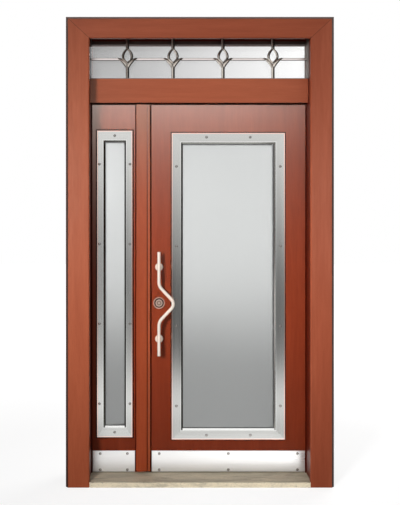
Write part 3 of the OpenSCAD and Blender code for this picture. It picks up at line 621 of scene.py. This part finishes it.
def lozenge(ridge=0.0, soft=0.09):
    """A lozenge section with softened corners, as (across, thickness) shares of its half sizes.
    Its two ridges lie off the middle by a share of the half width."""
    corners = [(1, 0), (ridge, 1), (-1, 0), (ridge, -1)]
    points = []
    for i, (u, v) in enumerate(corners):
        (pu, pv), (nu, nv) = corners[i - 1], corners[(i + 1) % 4]
        before = (u + (pu - u) * soft, v + (pv - v) * soft)
        after = (u + (nu - u) * soft, v + (nv - v) * soft)
        middle = tuple((a + 2 * c + b) / 4 for a, c, b in zip(before, (u, v), after))
        points += [before, middle, after]
    return points


def curve_at(p, t):
    u = 1 - t
    return p[0] * u**3 + p[1] * 3 * t * u * u + p[2] * 3 * t * t * u + p[3] * t**3


def strand(p, widths, section, steps=28):
    """A strand along a curve in the X-Z plane. Its width runs over three values."""
    rings = []
    first, middle, last = widths
    for i in range(steps + 1):
        t = i / steps
        here = curve_at(p, t)
        ahead = curve_at(p, min(1, t + 0.01)) - curve_at(p, max(0, t - 0.01))
        side = Vector((ahead.y, -ahead.x)).normalized()
        width = first * (1 - t) ** 2 + (4 * middle - first - last) * t * (1 - t) + last * t * t
        half = width / 2
        for u, v in section:
            rings.append((here.x + side.x * half * u, PETAL_T / 2 * v, here.y + side.y * half * u))
    return rings


def rod(name, node):
    """A rod with its tulip: a loop of two strands over two petals, in shares of the loop."""
    lo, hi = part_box(node)
    x, y = (lo.x + hi.x) / 2, (lo.y + hi.y) / 2
    bar_lo, bar_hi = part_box("fan_bar")
    mid = (bar_lo.z + bar_hi.z) / 2
    belly = Vector((LOOP_W / 2, 0.13 * LOOP_H))
    tip = Vector((PETAL_SPAN / 2, 0.06 * LOOP_H))
    upper = [Vector((0, LOOP_TOP)), Vector((0.28 * LOOP_W, 0.81 * LOOP_TOP)),
             Vector((0.54 * LOOP_W, 0.46 * LOOP_TOP)), belly]
    lower = [belly, belly - Vector((0, 0.15 * LOOP_H)), Vector((0.24 * LOOP_W, -0.165 * LOOP_H)),
             Vector((0, LOOP_FOOT))]
    petal = [tip, Vector((0.68 * tip.x, 0.03 * LOOP_H)), Vector((0.14 * tip.x, -0.3 * LOOP_H)),
             Vector((0.05 * tip.x, PETAL_FOOT))]
    parts = []
    for p, widths, ridge in ((upper, (0.7 * STRAND_W, STRAND_W, STRAND_W), 0.0),
                             (lower, (STRAND_W, 0.85 * STRAND_W, 0.7 * STRAND_W), 0.0),
                             (petal, (PETAL_TIP_W, PETAL_W, 0.9 * PETAL_W), PETAL_RIDGE)):
        right = strand(p, widths, lozenge(ridge))
        parts.append([(x + q[0], y + q[1], mid + q[2]) for q in right])
        parts.append([(x - q[0], y - q[1], mid + q[2]) for q in right])
    for z0, z1 in ((lo.z, mid + 0.9 * PETAL_FOOT), (mid + LOOP_TOP - STRAND_W / 3, hi.z)):
        parts.append([(x + ROD_W / 2 * u, y + ROD_D / 2 * v, z)
                      for z in (z0, z1) for u, v in lozenge(soft=0.05)])
    points, faces = [], []
    for part in parts:
        first = len(points)
        points += part
        faces += tube_faces(len(part) // LOZENGE_POINTS, LOZENGE_POINTS, first)
    made = piece(name, points, faces, "frame", rod_steel, sharp=25)
    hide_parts(node)


for number in (1, 2, 3, 4):
    rod(f"tulip_rod_{number}", f"fan_rod_{number}")


def bar_lengths(name, node):
    """The horizontal bar: flat lengths with bevelled front edges, between the tulips."""
    lo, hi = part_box(node)
    mid, half = (lo.z + hi.z) / 2, (hi.z - lo.z) / 2
    bevel_y = lo.y + BAR_BEVEL
    section = [(hi.y, -half), (bevel_y, -half), (lo.y, -BAR_FLAT / 2), (lo.y, BAR_FLAT / 2),
               (bevel_y, half), (hi.y, half)]
    ends = [lo.x]
    for number in (1, 2, 3, 4):
        a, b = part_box(f"fan_rod_{number}")
        ends += [a.x + BAR_LAP, b.x - BAR_LAP]
    ends.append(hi.x)
    points, faces = [], []
    for x0, x1 in zip(ends[::2], ends[1::2]):
        first = len(points)
        points += [(x, y, mid + z) for x in (x0, x1) for y, z in section]
        faces += tube_faces(2, len(section), first)
    made = piece(name, points, faces, "frame", bar_steel, sharp=20)
    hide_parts(node)


bar_lengths("fan_bar_lengths", "fan_bar")


# ---------------------------------------------------------------- screws

SCREW_R, SCREW_H, SLOT = 6.6 * MM, 3.4 * MM, 1.1 * MM
SLOT_FLOOR = 0.42 * SCREW_H
DOME_RINGS, DOME_STEPS = 7, 12
# The dark rings under the screw heads stand in for the heads' shadow: their radius, height and
# sides.
SHADOW_RING_R, SHADOW_RING_H, SHADOW_RING_SIDES = 7.7 * MM, 0.7 * MM, 20
LEAF_BODIES = {"main": "main_leaf", "side": "frame"}
# How far a trim's screws lie from its sides and from its ends, and their places along the ends
TRIM_SCREWS = {"main": (28 * MM, 26 * MM, (-125 * MM, 125 * MM)), "side": (15 * MM, 30 * MM, (0,))}
TRIM_SCREW_PITCH = 0.26
KICK_COLUMNS = {"main": 3, "side": 2}
KICK_SIDE, KICK_FOOT, KICK_TOP = 44 * MM, 12 * MM, 16 * MM


def dome_half():
    """Half of a slotted domed head as rows of (across, along, height), from slot to rim."""
    rows = []
    for i in range(DOME_RINGS + 1):
        r = SLOT + (SCREW_R - SLOT) * i / DOME_RINGS
        reach = math.acos(SLOT / r) if i else 0.0
        height = SCREW_H * math.sqrt(max(0.0, 1 - (r / (SCREW_R * 1.06)) ** 2))
        turns = [reach * (2 * j / DOME_STEPS - 1) for j in range(DOME_STEPS + 1)]
        rows.append([(r * math.cos(turn), r * math.sin(turn), height) for turn in turns])
    return rows


def screw_head(points, faces, at, outward, turn):
    """Adds one screw head at a point on a face. outward is -1 for a face towards -Y, 1 for +Y."""
    def put(u, v, h):
        c, s = math.cos(turn), math.sin(turn)
        points.append((at[0] + u * c - v * s, at[1] + outward * h, at[2] + u * s + v * c))
        return len(points) - 1

    def face(*ring):
        faces.append(ring if outward < 0 else tuple(reversed(ring)))

    half = dome_half()
    for sign in (1, -1):
        rows = [[put(sign * u, sign * v, h) for u, v, h in row] for row in half]
        rows.append([put(sign * u, sign * v, 0.0) for u, v, _ in half[-1]])
        for upper, lower in zip(rows, rows[1:]):
            for j in range(DOME_STEPS):
                face(upper[j], lower[j], lower[j + 1], upper[j + 1])
        rows.pop()
        wall = [row[0] for row in reversed(rows)] + [row[-1] for row in rows[1:]]
        spots = [row[0] for row in reversed(half)] + [row[-1] for row in half[1:]]
        base = [put(sign * u, sign * v, SLOT_FLOOR) for u, v, _ in spots]
        for j in range(len(wall) - 1):
            face(wall[j], wall[j + 1], base[j + 1], base[j])
    span = math.sqrt(SCREW_R ** 2 - SLOT ** 2)
    corners = ((-SLOT, -span), (SLOT, -span), (SLOT, span), (-SLOT, span))
    face(*(put(u, v, SLOT_FLOOR) for u, v in corners))
    for v in (-span, span):
        a, b = (SLOT, -SLOT) if v > 0 else (-SLOT, SLOT)
        face(put(a, v, SLOT_FLOOR), put(b, v, SLOT_FLOOR), put(b, v, 0.0), put(a, v, 0.0))


def shadow_ring(points, faces, at, outward):
    """Adds a thin dark ring under a screw head, which stands in for the head's shadow."""
    first = len(points)
    for r, h in ((SHADOW_RING_R, 0.0), (SHADOW_RING_R - 0.3 * MM, SHADOW_RING_H), (SCREW_R - 0.5 * MM, SHADOW_RING_H)):
        for k in range(SHADOW_RING_SIDES):
            turn = -outward * 2 * math.pi * k / SHADOW_RING_SIDES
            points.append((at[0] + r * math.cos(turn), at[1] + outward * h,
                           at[2] + r * math.sin(turn)))
    faces.extend(tube_faces(3, SHADOW_RING_SIDES, first))


def screws(name, spots, outward, body):
    """Screw heads at the spots as one piece, and the dark rings that stand in for their shadow as
    another.
    """
    points, faces = [], []
    for i, spot in enumerate(spots):
        screw_head(points, faces, spot, outward, 0.7 + 0.3 * math.sin(1.7 * i))
    piece(name, points, faces, body, screw_steel, sharp=40)
    points, faces = [], []
    for spot in spots:
        shadow_ring(points, faces, spot, outward)
    piece(name.replace("screws", "shadow_rings"), points, faces, body, seal_rubber, sharp=40)


def open_face(node):
    """The box of a trim or plate, the depth of its open face, and the way that it faces in Y."""
    lo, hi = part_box(node)
    outward = 1 if node.endswith("inner") else -1
    return lo, hi, hi.y if outward > 0 else lo.y, outward


def trim_screws(node, side_inset, end_inset, columns):
    """Screw places round a trim: four down each side, and some along its ends."""
    lo, hi, y, outward = open_face(node)
    cx = (lo.x + hi.x) / 2
    rows = [lo.z + (hi.z - lo.z) * (0.5 + TRIM_SCREW_PITCH * k) for k in (-1.5, -0.5, 0.5, 1.5)]
    spots = [(x, y, z) for z in rows for x in (lo.x + side_inset, hi.x - side_inset)]
    spots += [(cx + dx, y, z) for dx in columns for z in (lo.z + end_inset, hi.z - end_inset)]
    return spots, outward


def kick_screws(node, columns):
    """Screw places on a kick plate, in two rows."""
    lo, hi, y, outward = open_face(node)
    reach = hi.x - lo.x - 2 * KICK_SIDE
    xs = [lo.x + KICK_SIDE + reach * i / (columns - 1) for i in range(columns)]
    return [(x, y, z) for x in xs for z in (lo.z + KICK_FOOT, hi.z - KICK_TOP)], outward


screw_steel = steel("screw_steel", (172, 169, 165), brushed("x"), 0.2, stretch=0.2)
for side in ("outer", "inner"):
    for leaf, body in LEAF_BODIES.items():
        spots, outward = trim_screws(f"{leaf}_trim_{side}", *TRIM_SCREWS[leaf])
        screws(f"{leaf}_trim_screws_{side}", spots, outward, body)
    for leaf, body in LEAF_BODIES.items():
        spots, outward = kick_screws(f"{leaf}_kick_{side}", KICK_COLUMNS[leaf])
        screws(f"{leaf}_kick_screws_{side}", spots, outward, body)


# ---------------------------------------------------------------- seals

# The dark seals under the trims' outer edges are partly real and stand in for the trims' shadow.
SEAL_T = 1.6 * MM
SEAL_W = {"main_trim": 4.5 * MM, "side_trim": 6 * MM}
GLASS_SEAL_T = 3 * MM
# How far the seals between trim and glass reach into the opening, left, right, below and above.
# The black ones in front reach further on the left and above, where they stand in for the trim's
# shadow on the glass, and the grey silicone behind is toned as the pane's shaded foot.
GLASS_SEAL_OUTER = (1.5 * MM, 0.6 * MM, 0.4 * MM, 1.5 * MM)
GLASS_SEAL_INNER = (2.5 * MM, 2.5 * MM, 0.5 * MM, 2.5 * MM)
# The section of the seal under the rail, in mm in front of the leaves and below the rail
HEAD_SEAL = ((2, 0), (2, 3), (3.5, 4.5), (5.5, 3), (6, 0))
# Width of the seals left and right of the cover strip, and of those in the frame's corners
STRIP_SEAL_LEFT_W, STRIP_SEAL_RIGHT_W, STOP_SEAL_W = 6.5 * MM, 6 * MM, 6 * MM
# How far the seals over the strip and under the rail stop short of their neighbours
SEAL_INSET = 1 * MM


def swept_frame(name, rect, insets, section, body, material):
    """A mitred frame in the X-Z plane. The section's points are (share of the inset, y)."""
    x0, x1, z0, z1 = rect
    left, right, foot, top = insets
    points, count = [], len(section)
    for sx, sz in ((-1, -1), (1, -1), (1, 1), (-1, 1)):
        for share, y in section:
            x = x0 + left * share if sx < 0 else x1 - right * share
            z = z0 + foot * share if sz < 0 else z1 - top * share
            points.append((x, y, z))
    faces = []
    for corner in range(4):
        a, b = corner * count, (corner + 1) % 4 * count
        for k in range(count):
            n = (k + 1) % count
            faces.append((a + k, b + k, b + n, a + n))
    piece(name, points, faces, body, material, sharp=30)


def bead(name, across, depth, height):
    """A straight upright seal with a rounded front, on the frame."""
    (x0, x1), (y0, y1) = across, depth
    mid = (x0 + x1) / 2
    section = [(x0, y1), (x0, (y0 + y1) / 2), ((x0 + mid) / 2, y0 + 0.15 * (y1 - y0)), (mid, y0),
               ((x1 + mid) / 2, y0 + 0.15 * (y1 - y0)), (x1, (y0 + y1) / 2), (x1, y1)]
    points = [(x, y, z) for z in height for x, y in section]
    piece(name, points, tube_faces(2, len(section)), "frame", brown_rubber, sharp=50)


def trim_seals(trim, body):
    """The dark seals under the trims' outer edges, which stand in for the trims' shadow on the
    leaves, and those between the trims and their glass, which stand in for shade on the glass.
    """
    for side, face, sign in (("outer", face_y, -1), ("inner", back_y, 1)):
        node = f"{trim}_{side}"
        lo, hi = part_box(node)
        under = [(0.3, face), (-1, face), (-0.9, face + sign * 0.6 * SEAL_T),
                 (-0.6, face + sign * SEAL_T), (0.3, face + sign * SEAL_T)]
        swept_frame(f"{node}_edge_seal", (lo.x, hi.x, lo.z, hi.z), (SEAL_W[trim],) * 4,
                    under[::sign], body, seal_rubber)
    lo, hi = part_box(f"{trim}_outer")
    strip, end = (w + TRIM_BEVEL for w in TRIM_STRIPS[trim])
    opening = (lo.x + strip, hi.x - strip, lo.z + end, hi.z - end)
    glass_y = low("main_glass").y
    front = glass_y - GLASS_SEAL_T
    flat = [(0, glass_y), (0, front), (0.8, front), (1, front + 1 * MM), (1, glass_y)]
    swept_frame(f"{trim}_glass_seal_outer", opening, GLASS_SEAL_OUTER, flat[::-1], body,
                glazing_rubber)
    back = high("main_glass").y
    end_y = high(f"{trim}_inner").y - TRIM_BEVEL
    deep = [(0, back), (0, end_y), (0.6, end_y), (1, end_y - 1 * MM), (1, back)]
    swept_frame(f"{trim}_glass_seal_inner", opening, GLASS_SEAL_INNER, deep, body,
                glazing_silicone)


trim_seals("main_trim", "main_leaf")
trim_seals("side_trim", "frame")

strip_lo, strip_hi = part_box("cover_strip")
jamb_x0, jamb_x1 = high("jamb_left").x, low("jamb_right").x
bead("strip_seal_left", (strip_lo.x - STRIP_SEAL_LEFT_W, strip_lo.x), (face_y - 1.5 * MM, face_y),
     (strip_lo.z, strip_hi.z))
# The dark seal right of the strip stands in for the strip's shadow on the main leaf.
bead("strip_seal_right", (strip_hi.x, strip_hi.x + STRIP_SEAL_RIGHT_W),
     (face_y - 5 * MM, face_y - 1 * MM), (strip_lo.z, strip_hi.z))
bead("strip_top_seal", (strip_lo.x + SEAL_INSET, strip_hi.x - SEAL_INSET),
     (strip_lo.y + SEAL_INSET, strip_hi.y - SEAL_INSET), (strip_hi.z, rail_foot - 0.5 * MM))
for side, ends in (("left", (jamb_x0 + STOP_SEAL_W, strip_lo.x - SEAL_INSET)),
                   ("right", (strip_hi.x + SEAL_INSET, jamb_x1 - STOP_SEAL_W))):
    points = [(x, face_y - ahead * MM, rail_foot - below * MM)
              for x in ends for ahead, below in HEAD_SEAL]
    piece(f"head_seal_{side}", points, tube_faces(2, len(HEAD_SEAL)), "frame",
          brown_rubber, sharp=50)
for side, across in (("left", (jamb_x0, jamb_x0 + STOP_SEAL_W)),
                     ("right", (jamb_x1 - STOP_SEAL_W, jamb_x1))):
    bead(f"stop_seal_{side}", across, (face_y - 6 * MM, face_y - 2 * MM),
         (high("threshold").z, rail_foot))


# ---------------------------------------------------------------- stage, light and camera

FLOOR_HALF, FLOOR_DROP = 20, 0.2 * MM
WALL_Y = 0.2


def floor_in_steel(s, at, reach):
    """The floor as metal mirrors it: bright near the door, and dark further to the front. Its
    levels are matched to the light and dark lengths of the steel in the photograph."""
    depth = s.math("MULTIPLY", at["Y"], -1.0)
    front = s.curve(depth, 10, [(0.35, 1.6), (0.55, 0.8), (0.9, 0.8), (1.3, 1.1), (2.0, 1.0),
                                (3.2, 0.18), (4.5, 0.05), (10.0, 0.06)])
    right = s.lerp(s.band(depth, 0.6, 0.4), 1.1, s.band(at["X"], -0.5, 0.7, 0.9, 1.95))
    front = s.math("MULTIPLY", front, right)
    beside = s.math("MULTIPLY", s.band(s.math("ABSOLUTE", at["X"]), 0.61, 0.65),
                    s.band(depth, 0.9, 0.5))
    front = s.math("MULTIPLY", front, s.lerp(beside, 1.0, 0.35))
    slant = s.math("DIVIDE", at["X"], s.math("MINIMUM", at["Y"], -0.1))
    sides = s.math("ADD", s.band(slant, 0.06, 0.15, 0.0, 0.58),
                   s.band(slant, -0.05, -0.15, 0.0, 0.16))
    return s.math("ADD", front, s.math("MULTIPLY", sides, s.band(reach, 2.0, 3.5)))


def floor_through_glass(s, reach):
    """The floor as the frosted glass shows it: shaded near the door, and pale further back."""
    return s.curve(reach, 20, [(0.0, 0.30), (1.5, 0.31), (3.2, 0.27), (5.0, 0.42), (8.0, 0.80),
                               (14.0, 1.0), (20.0, 1.0)])


def pale_floor():
    """A pale floor. The camera sees it white where light falls on it, with the object's shadow.
    Rays from metal and through glass see the shaped levels of the two functions above."""
    half = FLOOR_HALF
    mesh = bpy.data.meshes.new("floor")
    mesh.from_pydata([(-half, -half, 0), (half, -half, 0), (half, half, 0), (-half, half, 0)],
                     [], [(0, 1, 2, 3)])
    floor = bpy.data.objects.new("floor", mesh)
    floor.location.z = -FLOOR_DROP
    bpy.context.scene.collection.objects.link(floor)
    s = Shader("floor_pale")
    s.shade(Base_Color=(0.28, 0.28, 0.28, 1), Roughness=1.0, Specular_IOR_Level=0.0)
    path = s.add("LightPath", {}).outputs
    where = s.add("TexCoord", {}).outputs["Object"]
    at = s.add("SeparateXYZ", {0: where}).outputs
    reach = s.add("VectorMath", {0: where}, operation="LENGTH").outputs["Value"]
    behind = s.math("GREATER_THAN", at["Y"], WALL_Y)
    mirrored = s.light(s.lerp(behind, floor_in_steel(s, at, reach), 1.0))
    through = s.light(s.lerp(behind, 1.0, floor_through_glass(s, reach)))
    far = s.light(s.band(reach, 1.5, 4.5, 0.78, 1.0))
    seen = s.add("AddShader", {0: far, 1: s.bsdf.outputs[0]}).outputs[0]
    shader = s.bsdf.outputs[0]
    for ray, look in (("Is Camera Ray", seen), ("Is Glossy Ray", mirrored),
                      ("Is Transmission Ray", through)):
        shader = s.add("MixShader", {0: path[ray], 1: shader, 2: look}).outputs[0]
    out = next(n for n in s.tree.nodes if n.type == "OUTPUT_MATERIAL")
    s.tree.links.new(shader, out.inputs["Surface"])
    mesh.materials.append(s.material)


def lamp(name, at, aim, size, power, spread=180):
    data = bpy.data.lights.new(name, "AREA")
    data.shape = "RECTANGLE"
    data.size, data.size_y = size
    data.energy = power
    data.spread = math.radians(spread)
    made = bpy.data.objects.new(name, data)
    made.location = at
    made.rotation_euler = (Vector(aim) - Vector(at)).to_track_quat("-Z", "Y").to_euler()
    made.visible_camera = False
    bpy.context.scene.collection.objects.link(made)
    return made


def gloss_lamp(name, at, aim, size, power, *names):
    """A lamp that gives only a reflection, without shadows, and only on the named nodes."""
    made = lamp(name, at, aim, size, power)
    made.visible_diffuse = False
    made.data.use_shadow = False
    lit = bpy.data.collections.new(name + "_receivers")
    for node in names:
        lit.objects.link(nodes[node])
    made.light_linking.receiver_collection = lit


def world(ambient):
    """White for the camera, and an even soft light on the object. Metal mirrors a room that is
    brighter upwards, and the glass shows a back that is darker on the left. Both are matched to
    the photograph."""
    w = bpy.data.worlds.new("studio")
    w.use_nodes = True
    bpy.context.scene.world = w
    s = Nodes(w.node_tree)
    path = s.add("LightPath", {}).outputs
    toward = s.add("SeparateXYZ", {0: s.add("TexCoord", {}).outputs["Generated"]}).outputs
    front = s.math("LESS_THAN", toward["Y"], 0.0)
    level = s.curve(s.math("ADD", toward["Z"], 0.2), 1.2,
                    [(rise + 0.2, v) for rise, v in ((-0.2, 0.2), (-0.08, 0.3), (-0.03, 0.46),
                                                     (0.03, 0.72), (0.10, 1.12), (0.2, 1.36))])
    side = s.curve(s.math("ADD", toward["X"], 1.0), 2.0,
                   [(0.0, 0.65), (0.5, 0.85), (0.8, 1.0), (1.3, 1.0), (1.55, 0.08), (2.0, 0.04)])
    beside = s.math("MULTIPLY", front, s.band(toward["Z"], 0.8, 0.4))
    level = s.math("MULTIPLY", level, s.lerp(beside, 1.0, side))
    high_up = s.band(toward["Z"], 0.11, 0.20)
    behind = s.lerp(high_up, 1.0, s.band(toward["X"], -0.10, 0.18, 0.32, 1.0))
    level = s.lerp(path["Is Glossy Ray"], ambient, level)
    level = s.lerp(path["Is Transmission Ray"], level, behind)
    back = w.node_tree.nodes["Background"]
    back.inputs["Color"].default_value = (1, 1, 1, 1)
    s.put(back, "Strength", s.lerp(path["Is Camera Ray"], level, 1.0))


pale_floor()
world(0.28)
key = lamp("key", (-1.95, -4.35, 2.45), (0.28, 0.1, 1.1), (0.8, 0.65), power=25, spread=52)
key.visible_glossy = False
lamp("fill", (2.6, -4.1, 1.7), (0.0, 0.1, 1.6), (1.2, 1.2), power=10.5)
lamp("back", (2.8, 3.5, 4.2), (0, 0.2, 1.3), (3.0, 3.0), power=150)
gloss_lamp("lacquer_gloss", (-0.2, -5.0, 3.7), (0.0, 0.1, 2.0), (3.5, 0.8), 960,
           "main_leaf", "side_leaf", "cover_strip")
gloss_lamp("side_gloss", (-1.9, -4.2, 1.9), (-0.6, 0.0, 1.4), (1.2, 1.2), 90,
           "casing_left", "casing_head", "transom_rail", "threshold")
gloss_lamp("right_gloss", (1.7, -4.2, 1.7), (0.6, 0.0, 1.4), (1.0, 1.2), 30,
           "casing_right", "transom_rail")

# A level camera, placed so that the reveals show as deep as in the photograph
camera = bpy.data.cameras.new("camera")
camera.lens = 49.3
camera.sensor_width = 36
camera.shift_x, camera.shift_y = 0.0634, -0.0604
camera.clip_end = 100
eye = bpy.data.objects.new("camera", camera)
eye.location = (-0.176, -3.822, 1.46)
eye.rotation_euler = (math.radians(90), 0, 0)
bpy.context.scene.collection.objects.link(eye)
bpy.context.scene.camera = eye
bpy.context.scene.view_settings.view_transform = "Standard"
